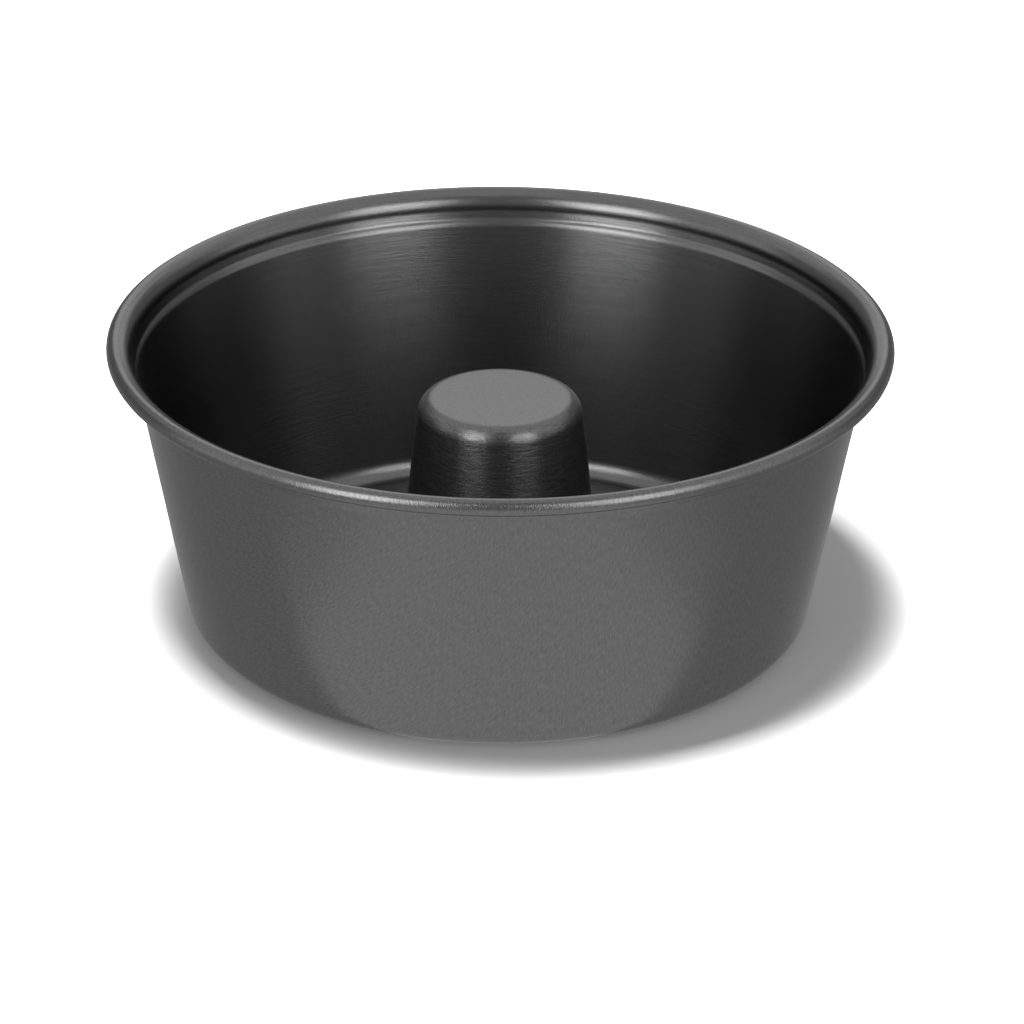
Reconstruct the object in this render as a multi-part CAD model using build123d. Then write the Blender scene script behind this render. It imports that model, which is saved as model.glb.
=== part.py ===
from build123d import *
import math
import os

# Angel food cake pan in dark satin aluminium: a spun shell with a rolled rim,
# a loose base plate that drops in on the shell's ledge, and a tube seamed into the plate.
# Millimetres and degrees. The pan stands on z = 0 and its axis is Z.

# Shell
rim_diameter = 255.3
pan_height = 98.4
sheet = 0.9
floor_corner_radius = 101.55
corner_bend = 7.0
ledge_width = 8.0

# Rolled rim, and the brow that carries it out from the neck
bead_width = 8.25
curl_radius = 2.75
curl_angle = 250.0
curl_arcs = 3
brow_slope = 25.85
brow_bend = 5.2

# Neck, the ridge under it and the shoulder down to the wall
neck_depth = 6.4
neck_bend = 4.0
ridge_width = 0.7
ridge_drop = 3.0
ridge_bend = 2.0
shoulder_width = 1.25
shoulder_drop = 1.45
shoulder_bend = 3.4

# Loose base plate
plate_thickness = 1.0
plate_clearance = 0.5
plate_edge_round = 0.3

# Centre tube and its seam in the plate
tube_height = 75.1
tube_top_radius = 26.45
tube_foot_radius = 34.65
tube_top_round = 5.7
tube_foot_tight = 0.2
seam_shoulder = 1.8
seam_bend = 0.3
seam_clearance = 0.07
flange_width = 6.4
table_clearance = 0.2

# Shell outline on the food side, from the rim down to the ledge
rim_radius = rim_diameter / 2
curl_centre_radius = rim_radius - curl_radius
neck_radius = rim_radius - bead_width
neck_height = pan_height - neck_depth
ridge_radius = neck_radius - ridge_width
ridge_height = neck_height - ridge_drop
crease_radius = ridge_radius - shoulder_width
crease_height = ridge_height - shoulder_drop
brow_lean = math.radians(brow_slope)
curl_centre_height = pan_height - curl_radius
brow_end_radius = curl_centre_radius - curl_radius * math.sin(brow_lean)
brow_end_height = curl_centre_height + curl_radius * math.cos(brow_lean)
brow_height = brow_end_height - (brow_end_radius - neck_radius) * math.tan(brow_lean)
wall_lean = math.atan2(crease_radius - floor_corner_radius, crease_height - sheet)
corner_turn = math.pi / 2 - wall_lean
seat_radius = floor_corner_radius - corner_bend * math.tan(corner_turn / 2)
ledge_radius = seat_radius - ledge_width

# Heights and radii at which the plate and the tube sit
plate_bottom = sheet
plate_top = plate_bottom + plate_thickness
plate_radius = seat_radius - plate_clearance
tube_sheet = sheet - table_clearance
seam_radius = tube_foot_radius - seam_shoulder
hole_radius = seam_radius + seam_clearance
flange_radius = seam_radius + flange_width
tube_foot_bend = tube_sheet + tube_foot_tight


def skin(corners, bends, depth):
    """One side of a folded sheet, at a depth under its food side.

    The food side runs with the metal on its right. Each corner is mitred across the sheet,
    and each bend is wider by the depth on a left turn and tighter by it on a right turn.
    """
    points = [Vector(*corner) for corner in corners]
    runs = [(end - start).normalized() for start, end in zip(points, points[1:])]
    across = [Vector(run.Y, -run.X) for run in runs]
    moved = [points[0] + across[0] * depth]
    radii = []
    for corner, bend, before, after in zip(points[1:], bends, across, across[1:]):
        moved.append(corner + (before + after) * (depth / (1 + before.dot(after))))
        turns_left = before.cross(after).Z > 0
        radii.append(bend + depth if turns_left else bend - depth)
    moved.append(points[-1] + across[-1] * depth)
    return FilletPolyline(*moved, radius=radii)


def lathe(edges):
    """The solid that a closed outline of radius and height sweeps round the axis."""
    return revolve(Plane.XZ * make_face(edges), axis=Axis.Z)


def pan_shell():
    """Ledge, rounded corner, leaning wall, shoulder, ridge and neck, ending in an open rolled rim."""
    corners = [
        (ledge_radius, sheet),
        (floor_corner_radius, sheet),
        (crease_radius, crease_height),
        (ridge_radius, ridge_height),
        (neck_radius, neck_height),
        (neck_radius, brow_height),
        (brow_end_radius, brow_end_height),
    ]
    bends = [corner_bend, shoulder_bend, ridge_bend, neck_bend, brow_bend]
    arc_turn = (brow_slope + curl_angle) / curl_arcs
    sides = []
    for depth in (0, sheet):
        side = Curve() + skin(corners, bends, depth)
        for _ in range(curl_arcs):
            side += JernArc(side @ 1, side % 1, curl_radius - depth, -arc_turn)
        sides.append(side)
    food_side, outside = sides
    ledge_edge = Line(food_side @ 0, outside @ 0)
    curl_edge = Line(food_side @ 1, outside @ 1)
    return lathe([*food_side.edges(), *outside.edges(), ledge_edge, curl_edge])


def base_plate():
    """Flat disc with a rounded rim and a hole with rounded edges for the tube's seam."""
    width = plate_radius - hole_radius
    section = Pos((plate_radius + hole_radius) / 2, (plate_top + plate_bottom) / 2)
    section *= Rectangle(width, plate_thickness)
    hole_corners = section.vertices().group_by(Axis.X)[0]
    section = fillet(hole_corners, seam_bend)
    rim_corners = section.vertices().group_by(Axis.X)[-1]
    section = fillet(rim_corners, plate_edge_round)
    return revolve(Plane.XZ * section, axis=Axis.Z)


def centre_tube():
    """Closed cone whose foot sits on the plate, with a neck in the hole and a flange below."""
    corners = [
        (0, tube_height),
        (tube_top_radius, tube_height),
        (tube_foot_radius, plate_top),
        (seam_radius, plate_top),
        (seam_radius, plate_bottom),
        (flange_radius, plate_bottom),
    ]
    bends = [tube_top_round, tube_foot_bend, seam_bend, seam_bend]
    food_side, inside = (skin(corners, bends, depth) for depth in (0, tube_sheet))
    crown = Line(food_side @ 0, inside @ 0)
    flange_edge = Line(food_side @ 1, inside @ 1)
    return lathe([*food_side.edges(), *inside.edges(), crown, flange_edge])


os.makedirs("parts", exist_ok=True)
for make in (pan_shell, base_plate, centre_tube):
    piece = make()
    piece.label = make.__name__
    export_step(piece, f"parts/{make.__name__}.step")
    print(make.__name__, round(piece.volume), piece.bounding_box())
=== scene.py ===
import math
import bpy
from mathutils import Matrix, Vector


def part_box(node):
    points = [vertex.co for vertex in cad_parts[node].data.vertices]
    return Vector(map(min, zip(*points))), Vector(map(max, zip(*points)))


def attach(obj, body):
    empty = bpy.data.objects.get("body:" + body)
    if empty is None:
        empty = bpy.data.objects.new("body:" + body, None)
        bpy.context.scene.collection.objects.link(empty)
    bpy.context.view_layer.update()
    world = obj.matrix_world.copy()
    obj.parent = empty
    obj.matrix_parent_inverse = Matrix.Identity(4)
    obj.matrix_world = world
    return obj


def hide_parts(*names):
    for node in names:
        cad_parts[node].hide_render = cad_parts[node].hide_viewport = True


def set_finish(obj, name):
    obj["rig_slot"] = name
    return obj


# Angel food cake pan in dark satin aluminium: a spun shell with a rolled rim,
# a loose base plate on the shell's ledge, and a closed tube seamed into the plate.
# Metres and degrees. The pan stands on z = 0 and its axis is Z.

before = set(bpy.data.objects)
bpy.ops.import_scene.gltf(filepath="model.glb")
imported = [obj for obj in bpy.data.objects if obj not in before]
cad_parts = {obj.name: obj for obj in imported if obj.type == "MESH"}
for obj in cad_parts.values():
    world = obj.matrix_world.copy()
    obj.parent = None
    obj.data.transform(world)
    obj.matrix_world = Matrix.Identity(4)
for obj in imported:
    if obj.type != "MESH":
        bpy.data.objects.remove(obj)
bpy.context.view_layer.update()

# Sizes that the frame gives
rim_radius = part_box("pan_shell")[1].x
pan_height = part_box("pan_shell")[1].z
plate_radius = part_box("base_plate")[1].x
plate_bottom, plate_top = (corner.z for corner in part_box("base_plate"))
flange_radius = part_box("centre_tube")[1].x
tube_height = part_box("centre_tube")[1].z
tube_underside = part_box("centre_tube")[0].z

# Shell
sheet = 0.0009
floor_corner_radius = 0.10155
corner_bend = 0.007
ledge_width = 0.008

# Rolled rim, and the brow that carries it out from the neck
bead_width = 0.00825
curl_radius = 0.00275
curl_angle = 250.0
brow_slope = 25.85
brow_bend = 0.0052

# Neck, the ridge under it and the shoulder down to the wall
neck_depth = 0.0064
neck_bend = 0.004
ridge_width = 0.0007
ridge_drop = 0.003
ridge_bend = 0.002
shoulder_width = 0.00125
shoulder_drop = 0.00145
shoulder_bend = 0.0034

# The outside is a little softer there, because the sheet thins as it is spun over the former
outside_ease = 0.00035
outside_ridge_bend = 0.0051
outside_shoulder_bend = 0.006

# Base plate and the seam that holds the tube in it
plate_edge_round = 0.0003
seam_clearance = 0.00007
seam_bend = 0.0003
flange_width = 0.0064

# Tube
tube_top_radius = 0.02645
tube_foot_radius = 0.03465
tube_top_round = 0.0057
tube_foot_tight = 0.0002

# Outline of the shell's food side, worked out as in the drawing
curl_centre_radius = rim_radius - curl_radius
curl_centre_height = pan_height - curl_radius
neck_radius = rim_radius - bead_width
neck_height = pan_height - neck_depth
ridge_radius = neck_radius - ridge_width
ridge_height = neck_height - ridge_drop
crease_radius = ridge_radius - shoulder_width
crease_height = ridge_height - shoulder_drop
brow_lean = math.radians(brow_slope)
brow_end_radius = curl_centre_radius - curl_radius * math.sin(brow_lean)
brow_end_height = curl_centre_height + curl_radius * math.cos(brow_lean)
brow_height = brow_end_height - (brow_end_radius - neck_radius) * math.tan(brow_lean)
wall_lean = math.atan2(crease_radius - floor_corner_radius, crease_height - sheet)
corner_turn = math.pi / 2 - wall_lean
seat_radius = floor_corner_radius - corner_bend * math.tan(corner_turn / 2)
ledge_radius = seat_radius - ledge_width

# Where the plate's hole and the tube's seam lie
seam_radius = flange_radius - flange_width
hole_radius = seam_radius + seam_clearance
tube_sheet = plate_bottom - tube_underside
tube_foot_bend = tube_sheet + tube_foot_tight

# How finely the meshes follow the shape. A straight run has a ring this gap from each end.
turns = 288
arc_step = math.radians(7.5)
flat_step = 0.006
end_gap = 0.00025
edge_round_share = 0.35
edge_round_steps = 3

# Marks in the metal: rolling grain of the sheet, rings of the lathe, and skin left by the etching
grain_heading = -25.0
grain_pitch = 0.00042
grain_stretch = 0.15
ring_pitch = 0.0009
ring_patches = 6
skin_pitch = 0.0005

# Dark satin metal. A mark has a depth in microns, and a share by which it changes the tone.
# The stretch is how far the rings draw out a highlight. It fades where the metal faces up.
metal_tone = 0.15
edge_tint = 0.7
micron = 0.000001
quarter_turn = 0.25
stretch_until = 0.75
stretch_gone = 0.97
satins = {
    "shell_metal": dict(grain=(60, 0.85), rings=(34, 0.4), skin=(35, 0.4), roughness=0.27, stretch=0.55),
    "base_metal": dict(grain=None, rings=(40, 0.5), skin=(40, 0.6), roughness=0.3, stretch=0.4),
    "tube_metal": dict(grain=None, rings=(130, 1.0), skin=(60, 0.9), roughness=0.31, stretch=0.9),
}

# Camera at the photograph's viewpoint, fitted to the outlines of the rim, wall, corner and tube
camera_distance = 1.53
camera_aim = (0, 0, 0.03825)
camera_elevation = 25.8212
camera_roll = 0.334
camera_lens = 163.05
camera_sensor = 36
camera_shift = (0.01217, -0.01323)

# Softboxes, by azimuth, elevation, width and height in degrees, and brightness
lamp_distance = 1.6
softboxes = {
    "front_left_box": (-38, 26, 27, 50, 4.3),
    "front_right_box": (37, 26, 28, 50, 3.2),
    "left_card": (-80, 22, 40, 44, 0.6),
    "right_card": (80, 22, 40, 44, 0.6),
    "back_panel": (180, 30, 32, 34, 1.1),
    "top_panel": (180, 72, 96, 64, 0.5),
}
air_tone = 0.35

# White cards on the floor before the pan, by width and brightness
front_card_y = -0.319
front_card_lift = 0.0002
front_card_depth = 0.45
front_cards = {"front_card": (0.21, 0.35), "wide_card": (0.31, 0.16)}

# Lamp that throws the shadow, and the floor under it
shadow_lamp_distance = 4.0
shadow_lamp_place = (-60, 83.5)
shadow_lamp_size = 1.2
shadow_lamp_brightness = 105.0
floor_reach = 4.0
floor_tone = 0.8
floor_glow = 0.075
mirrored_floor_tone = 0.53


# Outlines

def arc(start, heading, radius, turn):
    """Points of an arc after its start, turning left for a positive turn, and the new heading."""
    side = 1 if turn > 0 else -1
    to_centre = Vector((-heading.y, heading.x)) * side * radius
    centre = start + to_centre
    steps = max(2, math.ceil(abs(turn) / arc_step))
    points = []
    for step in range(1, steps + 1):
        spin = Matrix.Rotation(turn * step / steps, 2)
        points.append(centre - spin @ to_centre)
    return points, Matrix.Rotation(turn, 2) @ heading


def flat(start, end):
    """Points of a straight run after its start, with one close to each end to keep the bends crisp."""
    run = end - start
    length = run.length
    if length <= 3 * end_gap:
        return [end]
    inner = length - 2 * end_gap
    steps = math.ceil(inner / flat_step)
    ways = [end_gap + inner * step / steps for step in range(steps + 1)] + [length]
    return [start + run * (way / length) for way in ways]


def sheet_side(corners, bends, depth):
    """Points along one side of a folded sheet, at a depth under its food side, and the last heading."""
    points = [Vector(corner) for corner in corners]
    runs = [(end - start).normalized() for start, end in zip(points, points[1:])]
    across = [Vector((run.y, -run.x)) for run in runs]
    path = [points[0] + across[0] * depth]
    for i, bend in enumerate(bends):
        before, after = across[i], across[i + 1]
        corner = points[i + 1] + (before + after) * (depth / (1 + before.dot(after)))
        turn = math.atan2(runs[i].cross(runs[i + 1]), runs[i].dot(runs[i + 1]))
        radius = bend + depth if turn > 0 else bend - depth
        trim = radius * math.tan(abs(turn) / 2)
        path += flat(path[-1], corner - runs[i] * trim)
        path += arc(path[-1], runs[i], radius, turn)[0]
    path += flat(path[-1], points[-1] + across[-1] * depth)
    return path, runs[-1]


def sheet_edge(start, end, outward):
    """Points that round the cut edge of a sheet, from the end of one side to the end of the other."""
    across = (end - start).normalized()
    radius = (end - start).length * edge_round_share
    quarter = [math.pi / 2 * step / edge_round_steps for step in range(edge_round_steps + 1)]
    points = []
    for corner, along, angles in ((start, across, quarter), (end, -across, quarter[::-1])):
        centre = corner + (along - outward) * radius
        for angle in angles:
            points.append(centre + (outward * math.sin(angle) - along * math.cos(angle)) * radius)
    return points


def blank_radii(points, start):
    """How far from the axis each point of a side lay in the flat blank."""
    radii = [start]
    for before, after in zip(points, points[1:]):
        radii.append(radii[-1] + (after - before).length)
    return radii


# Meshes

def lathe(name, outline, blank, body, slot, node):
    """A piece swept round the axis, in place of its node.

    The outline of radius and height is closed and runs with the metal on its left,
    so that the faces look outwards. Blank holds each point's radius in the flat sheet.
    """
    angles = [2 * math.pi * turn / turns for turn in range(turns)]
    spokes = [(math.sin(angle), -math.cos(angle)) for angle in angles]
    on_axis = [point.x < end_gap / 2 for point in outline]
    places = []
    starts = []
    for point, pole in zip(outline, on_axis):
        starts.append(len(places))
        if pole:
            places.append((0, 0, point.y))
        else:
            places += [(point.x * east, point.x * north, point.y) for east, north in spokes]
    faces = []
    flat_places = []
    for row in range(len(outline)):
        above = (row + 1) % len(outline)
        if on_axis[row] and on_axis[above]:
            continue
        for column in range(turns):
            beside = (column + 1) % turns
            loop = [(row, column)] if on_axis[row] else [(row, column), (row, beside)]
            loop += [(above, column)] if on_axis[above] else [(above, beside), (above, column)]
            faces.append([starts[r] + (0 if on_axis[r] else c) for r, c in loop])
            for r, c in loop:
                flat_places += [blank[r] * spokes[c][0], blank[r] * spokes[c][1]]
    mesh = bpy.data.meshes.new(name)
    mesh.from_pydata(places, [], faces)
    mesh.uv_layers.new(name="blank").uv.foreach_set("vector", flat_places)
    mesh.shade_smooth()
    piece = bpy.data.objects.new(name, mesh)
    bpy.context.scene.collection.objects.link(piece)
    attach(piece, body)
    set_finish(piece, slot)
    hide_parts(node)
    return piece


def spun_shell():
    """Ledge, rounded corner, wall, shoulder and neck, ending in the open rolled rim."""
    sides = []
    for depth, ease, shoulder, ridge in (
        (0, 0, shoulder_bend, ridge_bend),
        (sheet, outside_ease, outside_shoulder_bend, outside_ridge_bend),
    ):
        corners = [
            (ledge_radius, sheet),
            (floor_corner_radius, sheet),
            (crease_radius, crease_height),
            (ridge_radius - ease, ridge_height),
            (neck_radius, neck_height),
            (neck_radius, brow_height),
            (brow_end_radius, brow_end_height),
        ]
        bends = [corner_bend, shoulder, ridge, neck_bend, brow_bend]
        path, heading = sheet_side(corners, bends, depth)
        curl, heading = arc(path[-1], heading, curl_radius - depth, -math.radians(brow_slope + curl_angle))
        sides.append(path + curl)
    food_side, outside = sides
    tip = sheet_edge(outside[-1], food_side[-1], heading)
    toe = sheet_edge(food_side[0], outside[0], Vector((-1, 0)))
    outline = outside[1:-1] + tip + food_side[-2:0:-1] + toe
    near = blank_radii(food_side, ledge_radius)
    far = blank_radii(outside, ledge_radius)
    blank = far[1:-1] + [near[-1]] * len(tip) + near[-2:0:-1] + [near[0]] * len(toe)
    return lathe("spun_shell", outline, blank, "shell", "shell_metal", "pan_shell")


def loose_base():
    """Flat disc with a rounded rim and a hole for the tube's seam."""
    outer = plate_radius - plate_edge_round
    inner = hole_radius + seam_bend
    right, left, up, down = Vector((1, 0)), Vector((-1, 0)), Vector((0, 1)), Vector((0, -1))
    outline = [Vector((inner, plate_bottom))]
    outline += flat(outline[-1], Vector((outer, plate_bottom)))
    outline += arc(outline[-1], right, plate_edge_round, math.pi / 2)[0]
    outline += flat(outline[-1], Vector((plate_radius, plate_top - plate_edge_round)))
    outline += arc(outline[-1], up, plate_edge_round, math.pi / 2)[0]
    outline += flat(outline[-1], Vector((inner, plate_top)))
    outline += arc(outline[-1], left, seam_bend, math.pi / 2)[0]
    outline += flat(outline[-1], Vector((hole_radius, plate_bottom + seam_bend)))
    outline += arc(outline[-1], down, seam_bend, math.pi / 2)[0][:-1]
    blank = [point.x for point in outline]
    return lathe("loose_base", outline, blank, "insert", "base_metal", "base_plate")


def closed_tube():
    """Closed cone that sits on the plate, with a neck in the hole and a flange below."""
    corners = [
        (0, tube_height),
        (tube_top_radius, tube_height),
        (tube_foot_radius, plate_top),
        (seam_radius, plate_top),
        (seam_radius, plate_bottom),
        (flange_radius, plate_bottom),
    ]
    bends = [tube_top_round, tube_foot_bend, seam_bend, seam_bend]
    food_side, inside = (sheet_side(corners, bends, depth)[0] for depth in (0, tube_sheet))
    lip = sheet_edge(inside[-1], food_side[-1], Vector((1, 0)))
    outline = inside[:-1] + lip + food_side[-2::-1]
    near = blank_radii(food_side, 0)
    far = blank_radii(inside, 0)
    blank = far[:-1] + [near[-1]] * len(lip) + near[-2::-1]
    return lathe("closed_tube", outline, blank, "insert", "tube_metal", "centre_tube")


# Finishes

VALUE = "NodeSocketFloat"
VECTOR = "NodeSocketVector"


class Board:
    """Places nodes in a node tree and joins them."""

    def __init__(self, tree):
        self.tree = tree

    def add(self, kind, **settings):
        node = self.tree.nodes.new(kind)
        for name, value in settings.items():
            setattr(node, name, value)
        return node

    def feed(self, socket, value):
        if isinstance(value, bpy.types.NodeSocket):
            self.tree.links.new(value, socket)
        else:
            socket.default_value = value

    def maths(self, operation, *values):
        node = self.add("ShaderNodeMath", operation=operation)
        for socket, value in zip(node.inputs, values):
            self.feed(socket, value)
        return node.outputs[0]

    def vector(self, operation, *values):
        node = self.add("ShaderNodeVectorMath", operation=operation)
        for socket, value in zip(node.inputs, values):
            self.feed(socket, value)
        return node.outputs["Value" if operation in ("LENGTH", "DOT_PRODUCT") else "Vector"]

    def fade(self, value, full, gone):
        """1 up to one value and 0 from another, with a soft change between."""
        node = self.add("ShaderNodeMapRange", interpolation_type="SMOOTHSTEP")
        self.feed(node.inputs["Value"], value)
        for socket, number in (("From Min", full), ("From Max", gone), ("To Min", 1), ("To Max", 0)):
            node.inputs[socket].default_value = number
        return node.outputs["Result"]

    def noise(self, vector, scale, detail, roughness):
        node = self.add("ShaderNodeTexNoise")
        self.feed(node.inputs["Vector"], vector)
        self.feed(node.inputs["Scale"], scale)
        node.inputs["Detail"].default_value = detail
        node.inputs["Roughness"].default_value = roughness
        return node.outputs["Fac"]


def new_group(name, inputs, outputs):
    """An empty shader group with its board, and its own inputs and outputs as seen from within."""
    group = bpy.data.node_groups.new(name, "ShaderNodeTree")
    for socket, kind in inputs.items():
        group.interface.new_socket(socket, in_out="INPUT", socket_type=kind)
    for socket, kind in outputs.items():
        group.interface.new_socket(socket, in_out="OUTPUT", socket_type=kind)
    board = Board(group)
    source = board.add("NodeGroupInput").outputs
    sink = board.add("NodeGroupOutput").inputs
    return group, board, source, sink


def rolled_grain_group():
    """Fine streaks that the rolling mill left in the flat blank, bent up with the metal."""
    inputs = {"Blank": VECTOR, "Heading": VALUE, "Pitch": VALUE, "Stretch": VALUE}
    group, board, source, sink = new_group("rolled_grain", inputs, {"Height": VALUE})
    turned = board.add("ShaderNodeVectorRotate", rotation_type="Z_AXIS")
    board.feed(turned.inputs["Vector"], source["Blank"])
    board.feed(turned.inputs["Angle"], source["Heading"])
    squash = board.add("ShaderNodeCombineXYZ")
    squash.inputs["X"].default_value = 1
    board.feed(squash.inputs["Y"], source["Stretch"])
    place = board.vector("MULTIPLY", turned.outputs["Vector"], squash.outputs["Vector"])
    fineness = board.maths("DIVIDE", 1, source["Pitch"])
    board.feed(sink["Height"], board.noise(place, fineness, detail=2, roughness=0.55))
    return group


def lathe_rings_group():
    """Fine rings left by the lathe, patchy along their length."""
    inputs = {"Blank": VECTOR, "Pitch": VALUE, "Patches": VALUE}
    group, board, source, sink = new_group("lathe_rings", inputs, {"Height": VALUE})
    reach = board.vector("LENGTH", source["Blank"])
    heading = board.vector("NORMALIZE", source["Blank"])
    rings = board.maths("DIVIDE", reach, source["Pitch"])
    lift = board.add("ShaderNodeCombineXYZ")
    board.feed(lift.inputs["Z"], rings)
    spread = board.add("ShaderNodeVectorMath", operation="SCALE")
    board.feed(spread.inputs["Vector"], heading)
    board.feed(spread.inputs["Scale"], source["Patches"])
    place = board.vector("ADD", spread.outputs["Vector"], lift.outputs["Vector"])
    board.feed(sink["Height"], board.noise(place, 1, detail=3, roughness=0.6))
    return group


def etched_skin_group():
    """The fine orange peel of an etched and anodised surface."""
    inputs = {"Place": VECTOR, "Pitch": VALUE}
    group, board, source, sink = new_group("etched_skin", inputs, {"Height": VALUE})
    fineness = board.maths("DIVIDE", 1, source["Pitch"])
    height = board.noise(source["Place"], fineness, detail=2, roughness=0.5)
    board.feed(sink["Height"], height)
    return group


def food_side_group():
    """1 where the surface faces the pan's axis, 0 where it faces away."""
    inputs = {"Place": VECTOR, "Facing": VECTOR}
    group, board, source, sink = new_group("food_side", inputs, {"Mask": VALUE})
    flat_place = board.vector("MULTIPLY", source["Place"], (1, 1, 0))
    inward = board.vector("DOT_PRODUCT", board.vector("NORMALIZE", flat_place), source["Facing"])
    board.feed(sink["Mask"], board.maths("LESS_THAN", inward, 0))
    return group


def use_group(board, group, **values):
    """A group placed in a material with its own values."""
    node = board.add("ShaderNodeGroup", node_tree=group)
    for name, value in values.items():
        board.feed(node.inputs[name], value)
    return node.outputs


def dark_satin(name, groups, grain, rings, skin, roughness, stretch):
    """Dark anodised aluminium with lathe rings and etched skin.

    With a grain, the outside keeps the rolled sheet's streaks, and only the food side has rings.
    """
    material = bpy.data.materials.new(name)
    material.use_nodes = True
    board = Board(material.node_tree)
    shader = material.node_tree.nodes["Principled BSDF"]
    blank = board.add("ShaderNodeUVMap", uv_map="blank").outputs["UV"]
    where = board.add("ShaderNodeTexCoord").outputs
    lean = board.add("ShaderNodeSeparateXYZ")
    board.feed(lean.inputs["Vector"], where["Normal"])
    upright = board.fade(lean.outputs["Z"], stretch_until, stretch_gone)

    turned = use_group(board, groups["rings"], Blank=blank, Pitch=ring_pitch, Patches=ring_patches)
    peel = use_group(board, groups["skin"], Place=where["Object"], Pitch=skin_pitch)
    marks = [(peel["Height"], 1, skin)]
    if grain is None:
        marks.append((turned["Height"], upright, rings))
    else:
        heading = math.radians(grain_heading)
        streaks = use_group(
            board, groups["grain"], Blank=blank, Heading=heading, Pitch=grain_pitch, Stretch=grain_stretch
        )
        side = use_group(board, groups["side"], Place=where["Object"], Facing=where["Normal"])
        marks.append((turned["Height"], side["Mask"], rings))
        marks.append((streaks["Height"], board.maths("SUBTRACT", 1, side["Mask"]), grain))

    height, shade = 0, 1
    for mark, mask, (depth, share) in marks:
        relief = board.maths("MULTIPLY", board.maths("SUBTRACT", mark, 0.5), mask)
        height = board.maths("MULTIPLY_ADD", relief, depth * micron, height)
        shade = board.maths("MULTIPLY_ADD", relief, share, shade)
    bump = board.add("ShaderNodeBump")
    bump.inputs["Strength"].default_value = 1
    bump.inputs["Distance"].default_value = 1
    board.feed(bump.inputs["Height"], height)
    board.feed(shader.inputs["Normal"], bump.outputs["Normal"])
    colour = board.add("ShaderNodeCombineColor")
    for channel in ("Red", "Green", "Blue"):
        board.feed(colour.inputs[channel], board.maths("MULTIPLY", shade, metal_tone))
    board.feed(shader.inputs["Base Color"], colour.outputs["Color"])

    sweep = board.add("ShaderNodeTangent", direction_type="RADIAL", axis="Z")
    board.feed(shader.inputs["Tangent"], sweep.outputs["Tangent"])
    board.feed(shader.inputs["Anisotropic"], board.maths("MULTIPLY", upright, stretch))
    shader.inputs["Anisotropic Rotation"].default_value = quarter_turn
    shader.inputs["Specular Tint"].default_value = (edge_tint, edge_tint, edge_tint, 1)
    shader.inputs["Metallic"].default_value = 1
    shader.inputs["Roughness"].default_value = roughness
    return material


def finishes():
    """The three metals by name, with the groups that they share."""
    groups = {
        "grain": rolled_grain_group(),
        "rings": lathe_rings_group(),
        "skin": etched_skin_group(),
        "side": food_side_group(),
    }
    return {name: dark_satin(name, groups, **satin) for name, satin in satins.items()}


# Studio

def direction(azimuth, elevation):
    """Unit vector towards a place in the studio. Azimuth 0 is the front, 90 the right."""
    a, e = math.radians(azimuth), math.radians(elevation)
    return Vector((math.sin(a) * math.cos(e), -math.cos(a) * math.cos(e), math.sin(e)))


def lamp(name, place, facing, width, height, brightness):
    """A rectangle of light at a place, facing against a direction."""
    light = bpy.data.lights.new(name, "AREA")
    light.shape = "RECTANGLE"
    light.size = width
    light.size_y = height
    light.energy = brightness * width * height * math.pi
    box = bpy.data.objects.new(name, light)
    box.location = place
    box.rotation_euler = facing.to_track_quat("Z", "Y").to_euler()
    box.visible_camera = False
    bpy.context.scene.collection.objects.link(box)
    return box


def softbox(name, azimuth, elevation, across, high, brightness):
    """A soft light that the metal mirrors, as wide and high as the given angles."""
    facing = direction(azimuth, elevation)
    width = 2 * lamp_distance * math.tan(math.radians(across / 2))
    height = 2 * lamp_distance * math.tan(math.radians(high / 2))
    box = lamp(name, facing * lamp_distance, facing, width, height, brightness)
    box.visible_diffuse = False


def studio_lights():
    """Softboxes and white cards that only the metal sees, and one lamp for the floor's shadow."""
    for name, setting in softboxes.items():
        softbox(name, *setting)
    for name, (width, brightness) in front_cards.items():
        place = Vector((0, front_card_y, front_card_lift))
        card = lamp(name, place, Vector((0, 0, -1)), width, front_card_depth, brightness)
        card.visible_diffuse = False
    facing = direction(*shadow_lamp_place)
    place = facing * shadow_lamp_distance
    size = shadow_lamp_size
    shadow_lamp = lamp("shadow_lamp", place, facing, size, size, shadow_lamp_brightness)
    shadow_lamp.visible_glossy = False


def studio_air():
    """White behind the pan, and a plain dimmer light for everything else."""
    world = bpy.data.worlds.new("studio")
    world.use_nodes = True
    board = Board(world.node_tree)
    shade = world.node_tree.nodes["Background"]
    shade.inputs["Color"].default_value = (1, 1, 1, 1)
    sight = board.add("ShaderNodeLightPath").outputs["Is Camera Ray"]
    strength = board.add("ShaderNodeMix", data_type="FLOAT")
    board.feed(strength.inputs["Factor"], sight)
    strength.inputs["A"].default_value = air_tone
    strength.inputs["B"].default_value = 1
    board.feed(shade.inputs["Strength"], strength.outputs["Result"])
    bpy.context.scene.world = world


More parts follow.
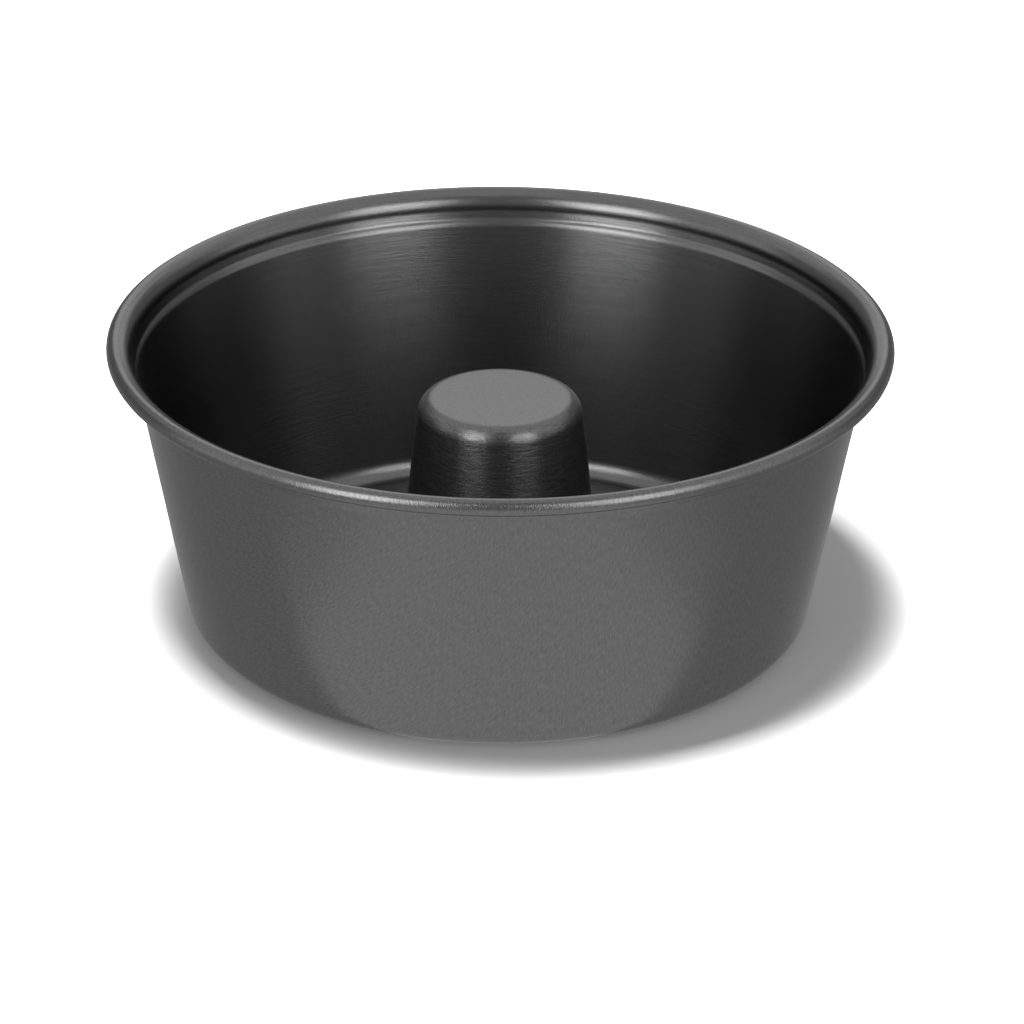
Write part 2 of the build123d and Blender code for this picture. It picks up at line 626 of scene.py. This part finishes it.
def studio_floor():
    """A pale sheet that takes the pan's shadow. The metal mirrors it as a plain light tone."""
    mesh = bpy.data.meshes.new("floor")
    corners = [(-floor_reach, -floor_reach, 0), (floor_reach, -floor_reach, 0)]
    corners += [(floor_reach, floor_reach, 0), (-floor_reach, floor_reach, 0)]
    mesh.from_pydata(corners, [], [(0, 1, 2, 3)])
    floor = bpy.data.objects.new("floor", mesh)
    bpy.context.scene.collection.objects.link(floor)
    material = bpy.data.materials.new("pale_floor")
    material.use_nodes = True
    board = Board(material.node_tree)
    nodes = material.node_tree.nodes
    nodes.remove(nodes["Principled BSDF"])
    paint = board.add("ShaderNodeBsdfDiffuse")
    paint.inputs["Color"].default_value = (floor_tone, floor_tone, floor_tone, 1)
    path = board.add("ShaderNodeLightPath").outputs
    mirrored = board.maths("MAXIMUM", path["Is Glossy Ray"], path["Is Transmission Ray"])
    glow = board.add("ShaderNodeEmission")
    board.feed(glow.inputs["Strength"], board.maths("MULTIPLY_ADD", mirrored, mirrored_floor_tone - 1, 1))
    share = board.maths("MULTIPLY_ADD", path["Is Camera Ray"], floor_glow, mirrored)
    mix = board.add("ShaderNodeMixShader")
    board.feed(mix.inputs["Fac"], share)
    board.feed(mix.inputs[1], paint.outputs[0])
    board.feed(mix.inputs[2], glow.outputs[0])
    board.feed(nodes["Material Output"].inputs["Surface"], mix.outputs[0])
    mesh.materials.append(material)


def camera():
    back = direction(0, camera_elevation)
    right = Vector((1, 0, 0))
    up = back.cross(right)
    roll = math.radians(camera_roll)
    tilted = right * math.cos(roll) + up * math.sin(roll)
    axes = Matrix((tilted, back.cross(tilted), back)).transposed()
    place = Vector(camera_aim) + back * camera_distance
    lens = bpy.data.cameras.new("camera")
    lens.sensor_width = camera_sensor
    lens.lens = camera_lens
    lens.shift_x, lens.shift_y = camera_shift
    viewer = bpy.data.objects.new("camera", lens)
    viewer.matrix_world = Matrix.Translation(place) @ axes.to_4x4()
    bpy.context.scene.collection.objects.link(viewer)
    bpy.context.scene.camera = viewer


camera()
pieces = (spun_shell(), loose_base(), closed_tube())
materials = finishes()
for piece in pieces:
    piece.data.materials.append(materials[piece["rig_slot"]])
studio_lights()
studio_air()
studio_floor()
bpy.context.scene.view_settings.view_transform = "Standard"
